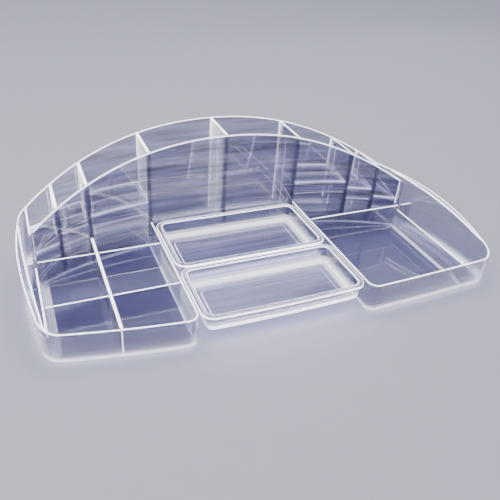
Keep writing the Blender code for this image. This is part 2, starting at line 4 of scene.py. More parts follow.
import bmesh
import bpy
from mathutils import Matrix, Vector


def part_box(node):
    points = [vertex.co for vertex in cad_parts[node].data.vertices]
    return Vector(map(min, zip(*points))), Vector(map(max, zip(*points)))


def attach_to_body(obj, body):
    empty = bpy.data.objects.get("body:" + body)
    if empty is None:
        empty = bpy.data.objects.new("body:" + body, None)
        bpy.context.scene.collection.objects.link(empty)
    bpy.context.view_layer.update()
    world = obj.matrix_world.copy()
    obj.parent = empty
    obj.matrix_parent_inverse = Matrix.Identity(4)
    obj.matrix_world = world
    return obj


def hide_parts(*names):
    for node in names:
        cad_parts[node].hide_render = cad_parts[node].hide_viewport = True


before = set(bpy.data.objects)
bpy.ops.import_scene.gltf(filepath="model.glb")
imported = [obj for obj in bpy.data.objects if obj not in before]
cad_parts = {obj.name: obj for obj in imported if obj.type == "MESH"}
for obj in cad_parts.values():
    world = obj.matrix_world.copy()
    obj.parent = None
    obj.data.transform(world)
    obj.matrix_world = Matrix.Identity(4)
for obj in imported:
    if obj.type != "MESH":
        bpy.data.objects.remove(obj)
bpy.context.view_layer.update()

bl_info = {
    "name": "Compartment storage box",
    "version": (1, 0, 0),
    "blender": (4, 5, 0),
    "location": "3D View > Sidebar > Storage box",
    "description": "Builds a clear moulded storage box with tall bays, two wings and two lift-out trays",
    "category": "Object",
}

# Plan of the case, in metres, counted from the centre divider
BACK_Y = 0.1013
CURVE_DROP = 0.0375
CURVE_POWER = 2.9
CURVE_REACH = 0.1815
TALL_DEPTH = 0.0485
BACK_CORNER_RADIUS = 0.0100
BAY_CORNER_RADIUS = 0.0095
PANEL_HALF = 0.0012
BAY_FACE_X = 0.0743 - PANEL_HALF
ARCH_RADIUS = 0.340
ENDS = {
    "left": {"reach": 0.1945, "crest_y": -0.0050, "side_radius": 0.350, "front_y": -0.1019,
             "front_radius": 0.820, "corner_radius": 0.0185, "fall": 3.5},
    "right": {"reach": 0.2118, "crest_y": -0.0750, "side_radius": 0.301, "front_y": -0.1052,
              "front_radius": 3.400, "corner_radius": 0.0155, "fall": 2.3},
}
TALL_FRONT_Y = BACK_Y - TALL_DEPTH

# Where the CAD frame's origin lies, counted the same way
DIVIDER_LOW, DIVIDER_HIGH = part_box("divider_centre")
BACK_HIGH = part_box("back_wall")[1]
ORIGIN = Vector((-(DIVIDER_LOW.x + DIVIDER_HIGH.x) / 2, BACK_Y - BACK_HIGH.y, 0))
CENTRE_HEIGHT = BACK_HIGH.z
WING_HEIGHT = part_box("left_front_wall")[1].z
TALL_WALL_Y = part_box("tall_front_wall")[0].y

# Upright sheets by their look, in the order that they are made
WAVY_DIVIDERS = ("divider_centre", "divider_left_deep", "divider_left_middle", "divider_left_fine")
CLEAR_DIVIDERS = ("divider_right_deep", "divider_right_middle", "divider_right_fine")
LOW_SHEETS = ("left_side_panel", "right_side_panel", "left_cross_rear_inner", "left_cross_rear_outer",
              "left_cross_front_inner", "left_cross_front_outer", "right_cross_divider")

# Steps of the curved outlines
BACK_STEPS = 48
SIDE_STEPS = 40
FRONT_STEPS = 24
CORNER_STEPS = 14
FOOT_STEPS = 9
ROUND_STEPS = 6
BEAD_FACETS = 12
SOLVER_STEPS = 60

# What counts as a sharp edge, as flat, as level, as looking along a direction, and as one corner
SHARP_ANGLE = math.radians(35)
BEAD_SHARP_ANGLE = math.radians(50)
FLAT_ANGLE = math.radians(1)
LEVEL_COSINE = 0.9999
FACE_COSINE = 0.7
ROUND_COSINE = 0.3
MERGE_DISTANCE = 0.00002
UP = Vector((0, 0, 1))
DOWN = Vector((0, 0, -1))
FRONT = Vector((0, -1, 0))

# Walls of the case that are higher than this share of its height get the painted reflection streaks
TALL_SHARE = 0.6

# Radius of the bead down the tall wall's end, as a share of the case's rim bead
END_BEAD_SHARE = 0.6

# The grip ledges: how far in from an end's crest they may start, and how full their crescent is
GRIP_DEPTH = 0.030
GRIP_FULLNESS = 0.7

# The photograph's camera: lens in pixels, angles in radians, and place from the centre divider
PHOTO_WIDTH = 500
LENS_PIXELS = 560.14
SENSOR_MM = 36.0
CAMERA_TURN = 0.44071
CAMERA_DIP = 0.58609
CAMERA_ROLL = 0.0828
CAMERA_PLACE = Vector((-0.1805, -0.3979, 0.3056))

# The floor's half width, how far it lies under the box's feet, and the slanted card's place and slope
FLOOR_REACH = 12.0
FLOOR_GAP = 0.0002
CARD_PLACE = Vector((0.639, 0.95, 0.607))
CARD_SLOPE = math.radians(32.3)


def colour(hex_code):
    """Turns an sRGB hex colour into linear red, green, blue and alpha."""
    parts = [int(hex_code[index:index + 2], 16) / 255 for index in (1, 3, 5)]
    linear = [part / 12.92 if part <= 0.04045 else ((part + 0.055) / 1.055) ** 2.4 for part in parts]
    return (*linear, 1.0)


# Outlines

def curve_y(x):
    """How far the back's line falls off towards the ends."""
    return -CURVE_DROP * (abs(x) / CURVE_REACH) ** CURVE_POWER


def curve_face_y(x, line_y, offset):
    """Face of a curved wall that lies that far from its line, measured square to the line."""
    step = CURVE_REACH / 1000
    slope = (curve_y(x + step) - curve_y(x - step)) / (2 * step)
    return line_y + curve_y(x) + offset * math.hypot(1, slope)


def tall_wall_front_y(x):
    """Front face of the tall wall."""
    return curve_face_y(x, TALL_FRONT_Y, -PANEL_HALF)


def arch_z(x):
    """Height of the arched back's rim."""
    return CENTRE_HEIGHT - ARCH_RADIUS + math.sqrt(ARCH_RADIUS ** 2 - x ** 2)


def crossing(function, low, high):
    """Place between low and high where a function changes sign."""
    low_sign = function(low) > 0
    for _ in range(SOLVER_STEPS):
        middle = (low + high) / 2
        if (function(middle) > 0) == low_sign:
            low = middle
        else:
            high = middle
    return (low + high) / 2


def spread(low, high, steps):
    """Values from low to high in that many equal steps."""
    return [low + (high - low) * step / steps for step in range(steps + 1)]


def quarter_turn(steps):
    """Angles from zero to a right angle, in that many equal steps."""
    return spread(0, math.pi / 2, steps)


def rounded_corner(curve_in, curve_out, radius):
    """Arc between two curves at the corner where both are at zero, and its reach along them."""
    nudge = radius / 100
    run_in = (curve_in(0) - curve_in(-nudge)).normalized()
    run_out = (curve_out(nudge) - curve_out(0)).normalized()
    reach = radius * math.tan(run_in.angle(run_out) / 2)
    start = curve_in(-reach)
    end = curve_out(reach)
    start_run = (curve_in(nudge - reach) - start).normalized()
    end_run = (end - curve_out(reach - nudge)).normalized()
    weight = math.cos(start_run.angle(end_run) / 2)
    across = start_run.x * end_run.y - start_run.y * end_run.x
    gap = end - start
    control = start + start_run * ((gap.x * end_run.y - gap.y * end_run.x) / across)
    points = []
    for t in spread(0, 1, CORNER_STEPS):
        a = (1 - t) ** 2
        b = 2 * weight * t * (1 - t)
        c = t ** 2
        points.append((start * a + control * b + end * c) / (a + b + c))
    return points, reach


def half_outline(end):
    """Outer face of half the case, from the tray bay to the back's centre, with its rim heights."""
    def side_x(y):
        return end["reach"] - (y - end["crest_y"]) ** 2 / (2 * end["side_radius"])

    def front_y(x):
        return end["front_y"] + x ** 2 / (2 * end["front_radius"])

    def back_y(x):
        return BACK_Y + curve_y(x)

    bay_y = front_y(BAY_FACE_X)
    corner_x = crossing(lambda x: side_x(front_y(x)) - x, BAY_FACE_X, end["reach"])
    corner_y = front_y(corner_x)
    back_x = crossing(lambda x: side_x(back_y(x)) - x, BAY_FACE_X, end["reach"])
    far_y = back_y(back_x)
    bay_arc, bay_reach = rounded_corner(
        lambda s: Vector((BAY_FACE_X, bay_y - s)),
        lambda s: Vector((BAY_FACE_X + s, front_y(BAY_FACE_X + s))), BAY_CORNER_RADIUS)
    front_arc, front_reach = rounded_corner(
        lambda s: Vector((corner_x + s, front_y(corner_x + s))),
        lambda s: Vector((side_x(corner_y + s), corner_y + s)), end["corner_radius"])
    back_arc, back_reach = rounded_corner(
        lambda s: Vector((side_x(far_y + s), far_y + s)),
        lambda s: Vector((back_x - s, back_y(back_x - s))), BACK_CORNER_RADIUS)

    level = [Vector((BAY_FACE_X, tall_wall_front_y(BAY_FACE_X))), *bay_arc]
    for x in spread(BAY_FACE_X + bay_reach, corner_x - front_reach, FRONT_STEPS)[1:-1]:
        level.append(Vector((x, front_y(x))))
    side = list(front_arc)
    for y in spread(corner_y + front_reach, far_y - back_reach, SIDE_STEPS)[1:-1]:
        side.append(Vector((side_x(y), y)))
    heights = [WING_HEIGHT] * len(level)
    rim_high = arch_z(back_arc[0].x)
    for point in side:
        share = (back_arc[0].y - point.y) / (back_arc[0].y - front_arc[0].y)
        share = max(0.0, min(1.0, share))
        heights.append(WING_HEIGHT + (rim_high - WING_HEIGHT) * (1 - share ** end["fall"]))
    points = level + side + back_arc
    heights += [arch_z(point.x) for point in back_arc]
    for x in spread(back_x - back_reach, 0, BACK_STEPS)[1:]:
        points.append(Vector((x, back_y(x))))
        heights.append(arch_z(x))
    return points, heights


def case_outline():
    """Outer face of the whole case, from the tray bay's right wall round the back to its left wall."""
    points, heights = half_outline(ENDS["right"])
    left_points, left_heights = half_outline(ENDS["left"])
    points += [Vector((-p.x, p.y)) for p in reversed(left_points[:-1])]
    heights += list(reversed(left_heights[:-1]))
    return points, heights


def path_normals(points):
    """Directions to the left of an open path at its points, stretched at corners to keep the offset."""
    normals = []
    for index, point in enumerate(points):
        runs = []
        if index:
            runs.append((point - points[index - 1]).normalized())
        if index < len(points) - 1:
            runs.append((points[index + 1] - point).normalized())
        sides = [Vector((-run.y, run.x)) for run in runs]
        total = (sides[0] + sides[-1]).normalized()
        normals.append(total / total.dot(sides[0]))
    return normals


def foot_arcs(radius, wall, floor):
    """Outer and inner curve of a rounded foot as (distance from the outer face, height)."""
    outer = []
    inner = []
    for angle in quarter_turn(FOOT_STEPS):
        outer.append((radius * (1 - math.cos(angle)), radius * (1 - math.sin(angle))))
        inner.append((radius - (radius - wall) * math.cos(angle),
                      radius - (radius - floor) * math.sin(angle)))
    return outer, inner


# Mesh helpers

def add_object(name, data):
    """Object in the scene that holds the given mesh, lamp or camera."""
    made = bpy.data.objects.new(name, data)
    bpy.context.scene.collection.objects.link(made)
    return made


def mesh_object(name, builder, finishes, flats=()):
    """Object at the origin from a bmesh in the CAD frame, with the named finishes.

    It is smooth except at sharp edges and round the faces that are to look flat.
    """
    flats = set(flats)
    for face in builder.faces:
        face.smooth = True
    for edge in builder.edges:
        faces = edge.link_faces
        edge.smooth = len(faces) == 2 and edge.calc_face_angle(0) < SHARP_ANGLE
        if edge.smooth and (faces[0] in flats) != (faces[1] in flats):
            edge.smooth = False
    mesh = bpy.data.meshes.new(name)
    builder.to_mesh(mesh)
    builder.free()
    for key in finishes:
        mesh.materials.append(finish(key))
    return add_object(name, mesh)


def level_faces(builder):
    """Faces that lie level, such as floors."""
    builder.normal_update()
    return [face for face in builder.faces if abs(face.normal.z) > LEVEL_COSINE]


def skin(builder, rings):
    """Faces between neighbouring rings of corners, ring by ring."""
    faces = []
    for near, far in zip(rings, rings[1:]):
        for index in range(len(near)):
            following = (index + 1) % len(near)
            faces.append(builder.faces.new((near[index], near[following], far[following], far[index])))
    return faces


def place(point, height):
    """Point of a plan outline in the CAD frame."""
    return Vector((point.x - ORIGIN.x, point.y - ORIGIN.y, height))


def attach(piece, body, slot, *nodes):
    """Puts a piece on its body, in place of the CAD nodes that it stands for; slot is not used."""
    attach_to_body(piece, body)
    if nodes:
        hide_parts(*nodes)


# Materials

POLYSTYRENE_IOR = 1.59
# the orange peel's grain as a share of the streaks' spacing
PEEL_SHARE = 0.4
# finishes whose darkest streaks are darker than this also glow along their light streaks: painted
# reflection streaks
GLOWING_STREAKS_BELOW = 0.5

# Finishes of the one plastic, many of them painted highlights, painted reflections or painted shade: whose
# colour each takes, how much lighter, and clear_plastic's settings
FINISHES = {
    # general purpose polystyrene from a polished mould: clear with a violet-grey cast
    "moulded_wall": (
        "plastic", 1.0, {"rough": 0.01, "grain_mm": 18.0, "through": 1.0, "cover": 0.65}),
    # thinner sheets of the same melt, with longer streaks and a little clearer
    "divider_sheet": (
        "plastic", 1.0, {"rough": 0.01, "grain_mm": 22.0, "through": 1.0, "cover": 0.6}),
    # painted reflection streaks: level light streaks, 4 mm apart, that glow along the tall walls
    "streaked_wall": (
        "plastic", 1.0, {"rough": 0.01, "grain_mm": 4.0, "through": 1.0, "cover": 0.62, "glow": 0.14,
                         "run": (0.05, 0.05, 1.0), "deep": 0.2}),
    # the trays are a second moulding, as clear as the case
    "tray": (
        "plastic", 1.0, {"rough": 0.01, "grain_mm": 14.0, "through": 1.0, "cover": 0.65}),
    # painted highlight on the wide tray floors: a lighter tint, and level streaks 5 mm apart whose light
    # parts glow
    "tray_floor": (
        "plastic", 1.25, {"rough": 0.01, "grain_mm": 5.0, "through": 1.0, "cover": 0.7, "glow": 0.18,
                          "run": (0.05, 1.0, 1.0), "deep": 0.2}),
    # four of the tall dividers are slightly wavy and a little frosted, with upright streaks, and are made
    # pale and glowing: a painted reflection of the light they catch at a grazing angle
    "tall_sheet": (
        "edge", 0.9, {"rough": 0.08, "grain_mm": 4.0, "through": 0.6, "cover": 0.65, "glow": 0.9,
                      "run": (1.0, 0.7, 0.15), "deep": 0.3}),
    # painted highlight: the same plastic seen edge on glows white, standing in for light that travels
    # inside the sheet and comes out there
    "gathered_edge": (
        "edge", 1.0, {"rough": 0.15, "grain_mm": 6.0, "through": 0.0, "cover": 1.0, "glow": 3.6}),
    # painted highlight: the rounded foot glows as one pale band, standing in for the light it bends from
    # all round
    "rounded_foot": (
        "edge", 1.0, {"rough": 0.10, "grain_mm": 9.0, "through": 0.5, "cover": 0.7, "glow": 0.35}),
    # painted highlight: inside, the same round glows as a milky band along the floor
    "inner_round": (
        "edge", 1.0, {"rough": 0.12, "grain_mm": 9.0, "through": 0.4, "cover": 0.55, "glow": 0.6}),
    # painted highlight: the trays' tighter rounds glow more than the case's foot
    "tray_round": (
        "edge", 1.0, {"rough": 0.08, "grain_mm": 9.0, "through": 0.4, "cover": 0.75, "glow": 0.9}),
    # painted highlight: the front rounds face the light over the camera, and the whole band glows as if
    # lit
    "tray_front": (
        "edge", 1.0, {"rough": 0.08, "grain_mm": 9.0, "through": 0.2, "cover": 0.85, "glow": 2.3}),
    # painted highlight: a glowing bead inside the rounded foot, softer than a cut edge
    "foot_core": (
        "edge", 1.0, {"rough": 0.15, "grain_mm": 6.0, "through": 0.0, "cover": 1.0, "glow": 1.4}),
    # painted shade: a divider's end against a wall, where little light comes out, is made darker and more
    # opaque, slate
    "joined_edge": (
        "plastic", 0.6, {"rough": 0.08, "grain_mm": 9.0, "through": 0.2, "cover": 0.85}),
}


def add_node(tree, kind, links=(), **settings):
    """Adds a node, sets its inputs and properties by name, and links sockets into it."""
    node = tree.nodes.new(kind)
    for key, value in settings.items():
        if hasattr(node, key):
            setattr(node, key, value)
        else:
            node.inputs[key.replace("_", " ")].default_value = value
    for source, target in links:
        tree.links.new(source, node.inputs[target])
    return node


def shade(value, factor):
    """A linear colour made darker or lighter, opaque."""
    return (value[0] * factor, value[1] * factor, value[2] * factor, 1.0)


def add_ramp(tree, value, *stops):
    """Colours that follow a value, from stops of a position and a colour each."""
    ramp = add_node(tree, "ShaderNodeValToRGB", [(value, "Fac")])
    elements = ramp.color_ramp.elements
    for element, (position, tint) in zip(elements, (stops[0], stops[-1])):
        element.position = position
        element.color = tint
    for position, tint in stops[1:-1]:
        elements.new(position).color = tint
    return ramp.outputs["Color"]


def add_material(name, **settings):
    """Material with its node tree and its main shader, whose inputs are set by name."""
    material = bpy.data.materials.new(name)
    material.use_nodes = True
    shader = material.node_tree.nodes["Principled BSDF"]
    for key, value in settings.items():
        shader.inputs[key.replace("_", " ")].default_value = value
    return material, material.node_tree, shader


def clear_plastic(name, tint, rough, grain_mm, through, cover, glow=0.0, run=(1.0, 0.35, 0.6), deep=0.9):
    """Clear moulded polystyrene. Light passes, and shadows stay open as under the real thin walls.

    Melt that cools as it flows leaves faint streaks, and the polished mould leaves a slight orange peel.
    The streaks are grain_mm apart and longer along the axes where run is small, and deep is how bright
    the darkest are; where deep is low, the light streaks also glow as painted reflection streaks. through
    is the share of light that the plastic lets in, cover is how much of the view the surface fills, and
    glow
    is emission: painted light that stands in for light travelling inside the sheet and coming out here.
    """
    material, tree, shader = add_material(
        name, Transmission_Weight=through, IOR=POLYSTYRENE_IOR, Alpha=cover,
        Emission_Color=tint, Emission_Strength=glow)
    spot = add_node(tree, "ShaderNodeTexCoord")
    stretch = add_node(tree, "ShaderNodeMapping", [(spot.outputs["Object"], "Vector")], Scale=run)
    streaks = add_node(tree, "ShaderNodeTexNoise", [(stretch.outputs["Vector"], "Vector")],
                       Scale=1000 / grain_mm, Detail=3.0, Roughness=0.5)
    tints = add_ramp(tree, streaks.outputs["Fac"], (0.3, shade(tint, deep)), (0.7, tint))
    gloss = add_node(tree, "ShaderNodeMapRange", [(streaks.outputs["Fac"], "Value")])
    gloss.inputs["To Min"].default_value = rough * 0.6
    gloss.inputs["To Max"].default_value = rough * 1.6
    tree.links.new(tints, shader.inputs["Base Color"])
    if deep < GLOWING_STREAKS_BELOW:
        # strong streaks also glow in the streaks' own colour: painted reflection streaks
        tree.links.new(tints, shader.inputs["Emission Color"])
    tree.links.new(gloss.outputs["Result"], shader.inputs["Roughness"])
    peel = add_node(tree, "ShaderNodeTexNoise", [(spot.outputs["Object"], "Vector")],
                    Scale=1000 / (grain_mm * PEEL_SHARE), Detail=1.0)
    relief = add_node(tree, "ShaderNodeBump", [(peel.outputs["Fac"], "Height")],
                      Strength=0.04, Distance=0.0002)
    tree.links.new(relief.outputs["Normal"], shader.inputs["Normal"])
    rays = add_node(tree, "ShaderNodeLightPath")
    passed = add_node(tree, "ShaderNodeBsdfTransparent", Color=shade(tint, 1.05))
    mix = add_node(tree, "ShaderNodeMixShader",
                   [(rays.outputs["Is Shadow Ray"], 0), (shader.outputs[0], 1), (passed.outputs[0], 2)])
    tree.links.new(mix.outputs[0], tree.nodes["Material Output"].inputs["Surface"])
    return material


def studio_paper(name, tint):
    """Matt card that the box stands on, with the faint fibre mottle of uncoated paper."""
    material, tree, shader = add_material(name, Roughness=0.85, Specular_IOR_Level=0.2)
    spot = add_node(tree, "ShaderNodeTexCoord")
    mottle = add_node(tree, "ShaderNodeTexNoise", [(spot.outputs["Object"], "Vector")],
                      Scale=60.0, Detail=4.0)
    tints = add_ramp(tree, mottle.outputs["Fac"], (0.0, shade(tint, 0.96)), (1.0, tint))
    tree.links.new(tints, shader.inputs["Base Color"])
    return material


def finish(key):
    """The named finish, made once from the colours that the user set."""
    name = "polystyrene_" + key
    known = bpy.data.materials.get(name)
    if known is not None:
        return known
    tint, factor, settings = FINISHES[key]
    picked = getattr(bpy.context.scene.storage_box_colours, tint)
    return clear_plastic(name, shade(picked, factor), **settings)


# Case

def build_case(sizes):
    """The case as one moulding, and the beads along its rim, its foot and the tall wall."""
    points, heights = case_outline()
    normals = path_normals(points)
    # the outline's two ends are cut along the tall wall's front
    foot_x = BAY_FACE_X + sizes.foot_radius
    slant = (tall_wall_front_y(foot_x) - tall_wall_front_y(BAY_FACE_X)) / sizes.foot_radius
    normals[0] = Vector((1, slant))
    normals[-1] = Vector((-1, slant))
    build_case_skin(sizes, points, normals, heights)
    build_case_beads(sizes, points, normals, heights)
    build_tall_wall_beads(sizes)


def build_case_skin(sizes, points, normals, heights):
    """Floor, rounded foot and walls: one section carried round the outline, closed by the floors."""
    outer, inner = foot_arcs(sizes.foot_radius, sizes.wall, sizes.floor)
    half = sizes.wall / 2
    plain, round_foot, streaked, inner_round = range(4)
    builder = bmesh.new()
    rows = []
    for point, normal, height in zip(points, normals, heights):
        top = [(half - half * math.cos(angle), height - sizes.bead_rise - half + half * math.sin(angle))
               for angle in spread(0, math.pi, ROUND_STEPS)]
        section = list(reversed(outer)) + top + inner
        rows.append([builder.verts.new(place(point + normal * depth, z)) for depth, z in section])
    # finish of each stretch of the section: foot outside, wall with its rounded top, foot inside; both
    # feet glow as painted highlights, and the tall walls get painted reflection streaks
    parts = [round_foot] * FOOT_STEPS + [plain] * (ROUND_STEPS + 2) + [inner_round] * FOOT_STEPS
    for number, (near, far) in enumerate(zip(rows, rows[1:])):
        tall = min(heights[number], heights[number + 1]) > CENTRE_HEIGHT * TALL_SHARE
        beside_trays = number in (0, len(rows) - 2)
        for index, part in enumerate(parts):
            face = builder.faces.new((near[index], far[index], far[index + 1], near[index + 1]))
            face.material_index = part
            if tall and part == plain:
                face.material_index = streaked
            if beside_trays:
                face.material_index = plain
    builder.faces.new(rows[0])
    builder.faces.new(list(reversed(rows[-1])))
    foot_x = BAY_FACE_X + sizes.foot_radius
    seam = [Vector((x, tall_wall_front_y(x))) for x in spread(-foot_x, foot_x, BACK_STEPS)[1:-1]]
    low = [builder.verts.new(place(p, 0)) for p in seam]
    high = [builder.verts.new(place(p, sizes.floor)) for p in seam]
    low_line = [rows[-1][0]] + low + [rows[0][0]]
    high_line = [rows[-1][-1]] + high + [rows[0][-1]]
    for index in range(len(low_line) - 1):
        builder.faces.new((low_line[index], low_line[index + 1], high_line[index + 1], high_line[index]))
    under = builder.faces.new([row[0] for row in rows] + low)
    upper = builder.faces.new([row[-1] for row in rows] + high)
    builder.normal_update()
    bmesh.ops.triangulate(builder, faces=[under, upper])
    bmesh.ops.recalc_face_normals(builder, faces=builder.faces)
    shell = mesh_object("case_shell", builder,
                        ["moulded_wall", "rounded_foot", "streaked_wall", "inner_round"],
                        level_faces(builder))
    attach(shell, "case", "case_clear", "tall_floor", "left_floor", "right_floor", "back_wall",
           "left_end_wall", "right_end_wall", "left_front_wall", "right_front_wall",
           "left_bay_wall", "right_bay_wall")


def core_depth(foot_radius, bead_radius):
    """How far the glowing bead in a foot, a painted highlight, lies inside the outer face and over the
    underside.
    """
    return foot_radius * (1 - math.sqrt(0.5)) + bead_radius


def build_case_beads(sizes, points, normals, heights):
    """Glowing bead along the case's rim, and a glowing bead inside its rounded foot, both painted
    highlights.
    """
    depth = core_depth(sizes.foot_radius, sizes.foot_bead_radius)
    rim = []
    foot = []
    for point, normal, height in zip(points, normals, heights):
        rim.append(place(point + normal * (sizes.wall / 2), height - sizes.bead_radius))
        foot.append(place(point + normal * depth, depth))
    lay_bead("case_rim_bead", rim, sizes.bead_radius, "gathered_edge", "case_clear")
    lay_bead("case_foot_bead", foot, sizes.foot_bead_radius, "foot_core", "case_clear")


def build_tall_wall_beads(sizes):
    """Glowing bead, a painted highlight, along the tall wall's arched rim, and down its right end to the
    wing's rim.
    """
    limit = CURVE_REACH - 2 * PANEL_HALF
    rim = []
    for x in spread(-limit, limit, 2 * BACK_STEPS):
        y = TALL_FRONT_Y + curve_y(x)
        rim.append(place(Vector((x, y)), arch_z(x) - sizes.tall_bead_radius))
    lay_bead("tall_wall_rim_bead", rim, sizes.tall_bead_radius, "gathered_edge")
    corner = [rim[-1].copy(), rim[-1].copy()]
    corner[0].z = WING_HEIGHT
    lay_bead("tall_wall_end_bead", corner, sizes.bead_radius * END_BEAD_SHARE, "gathered_edge")


def build_grips(sizes):
    """Crescent ledges inside the rims of both ends, for the fingers, with a glowing bead along the inner
    edge as painted highlight.
    """
    half = sizes.wall / 2
    for side, turn in (("left", -1), ("right", 1)):
        points, heights = half_outline(ENDS[side])
        inmost = ENDS[side]["reach"] - GRIP_DEPTH
        chosen = [index for index, point in enumerate(points)
                  if point.x > inmost and sizes.grip_start < point.y < sizes.grip_end]
        normals = path_normals(points)
        builder = bmesh.new()
        rows = []
        line = []
        for order, index in enumerate(chosen):
            share = order / (len(chosen) - 1)
            width = half + sizes.grip_width * math.sin(math.pi * share) ** GRIP_FULLNESS
            near = points[index] + normals[index] * half
            far = points[index] + normals[index] * width
            top = heights[index] - sizes.bead_radius / 2
            low = top - sizes.grip_thickness
            row = [(near, low), (near, top), (far, top), (far, low)]
            rows.append([builder.verts.new(place(Vector((turn * p.x, p.y)), z)) for p, z in row])
            line.append(place(Vector((turn * far.x, far.y)), (top + low) / 2))
        skin(builder, rows)
        builder.faces.new(rows[0])
        builder.faces.new(rows[-1])
        bmesh.ops.remove_doubles(builder, verts=builder.verts, dist=MERGE_DISTANCE)
        bmesh.ops.recalc_face_normals(builder, faces=builder.faces)
        ledge = mesh_object(side + "_grip_ledge", builder, ["moulded_wall"])
        attach(ledge, "case", "case_clear")
        lay_bead(side + "_grip_bead", line, sizes.grip_thickness / 2, "gathered_edge", "case_clear")


def build_panel_fillets(sizes):
    """Concave fillets between the side panels and the wings' floors, on the wings' side, glowing as
    painted highlight.
    """
    for side, turn in (("left", 1), ("right", -1)):
        low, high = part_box(side + "_side_panel")
        face_x = high.x if side == "left" else low.x
        radius = sizes.left_panel_fillet if side == "left" else sizes.right_panel_fillet
        front = low.y + sizes.wall
        arc = [(radius * (1 - math.cos(angle)), radius * (1 - math.sin(angle)))
               for angle in quarter_turn(FOOT_STEPS)]
        section = [(0, 0), *reversed(arc)]
        builder = bmesh.new()
        rows = []
        for y in spread(front, TALL_WALL_Y, FRONT_STEPS):
            rows.append([builder.verts.new((face_x + turn * x, y, sizes.floor + z)) for x, z in section])
        skin(builder, rows)
        caps = [builder.faces.new(rows[0]), builder.faces.new(rows[-1])]
        builder.normal_update()
        bmesh.ops.triangulate(builder, faces=caps)
        bmesh.ops.recalc_face_normals(builder, faces=builder.faces)
        fillet = mesh_object(side + "_panel_fillet", builder, ["inner_round"])
        attach(fillet, "case", "panel_clear")


def build_junctions(sizes):
    """Fillets where the tall dividers run into the back wall, glowing as painted highlight, and into the
    tall wall, slate as painted shade.
    """
    for node in WAVY_DIVIDERS + CLEAR_DIVIDERS:
        low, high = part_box(node)
        x = (low.x + high.x) / 2
        bottom = low.z + sizes.foot_radius
        top = arch_z(x + ORIGIN.x) - 2 * sizes.tall_bead_radius
        steps = spread(bottom, top, FRONT_STEPS)
        rear = [Vector((x, high.y - sizes.junction_radius, z)) for z in steps]
        lay_bead(node + "_rear_fillet", rear, sizes.junction_radius, "gathered_edge")
        front = [Vector((x, low.y + sizes.joined_radius, z)) for z in steps]
        lay_bead(node + "_front_fillet", front, sizes.joined_radius, "joined_edge")


# Beads that follow a rim

def bead_tree():
    """Geometry nodes that sweep a round bead along the object's edges."""
    known = bpy.data.node_groups.get("rim_bead")
    if known is not None:
        return known
    tree = bpy.data.node_groups.new("rim_bead", "GeometryNodeTree")
    kinds = {"Geometry": "Geometry", "Bead radius": "Float", "Facets round": "Int", "Finish": "Material"}
    for socket, kind in kinds.items():
        tree.interface.new_socket(socket, in_out="INPUT", socket_type="NodeSocket" + kind)
    tree.interface.new_socket("Geometry", in_out="OUTPUT", socket_type="NodeSocketGeometry")
    given = add_node(tree, "NodeGroupInput")
    line = add_node(tree, "GeometryNodeMeshToCurve", [(given.outputs["Geometry"], "Mesh")])
    circle = add_node(tree, "GeometryNodeCurvePrimitiveCircle",
                      [(given.outputs["Facets round"], "Resolution"),
                       (given.outputs["Bead radius"], "Radius")])
    sweep = add_node(tree, "GeometryNodeCurveToMesh",
                     [(line.outputs["Curve"], "Curve"), (circle.outputs["Curve"], "Profile Curve")])
    sweep.inputs["Fill Caps"].default_value = True
    real = add_node(tree, "GeometryNodeRealizeInstances", [(sweep.outputs["Mesh"], "Geometry")])
    painted = add_node(tree, "GeometryNodeSetMaterial",
                       [(real.outputs["Geometry"], "Geometry"), (given.outputs["Finish"], "Material")])
    add_node(tree, "NodeGroupOutput", [(painted.outputs["Geometry"], "Geometry")])
    return tree


def lay_bead(name, line, radius, key, slot="panel_clear", body="case", closed=False):
    """Round bead of the named finish along a line of points, made a plain mesh on its body."""
    material = finish(key)
    mesh = bpy.data.meshes.new(name + "_line")
    edges = [(index, index + 1) for index in range(len(line) - 1)]
    if closed:
        edges.append((len(line) - 1, 0))
    mesh.from_pydata(line, edges, [])
    carrier = add_object(name + "_line", mesh)
    modifier = carrier.modifiers.new("bead", "NODES")
    modifier.node_group = bead_tree()
    values = {"Bead radius": radius, "Facets round": BEAD_FACETS, "Finish": material}
    for item in modifier.node_group.interface.items_tree:
        if item.name in values and item.in_out == "INPUT":
            modifier[item.identifier] = values[item.name]
    depsgraph = bpy.context.evaluated_depsgraph_get()
    made = bpy.data.meshes.new_from_object(carrier.evaluated_get(depsgraph), depsgraph=depsgraph)
    bpy.data.objects.remove(carrier, do_unlink=True)
    made.name = name
    made.shade_smooth()
    made.set_sharp_from_angle(angle=BEAD_SHARP_ANGLE)
    attach(add_object(name, made), body, slot)


# Sheets that keep the shape of their CAD node, with merged corners and rounded edges

def looks_along(face, directions, least):
    """Whether a face looks along one of the directions, by at least that cosine."""
    return any(face.normal.dot(direction) > least for direction in directions)


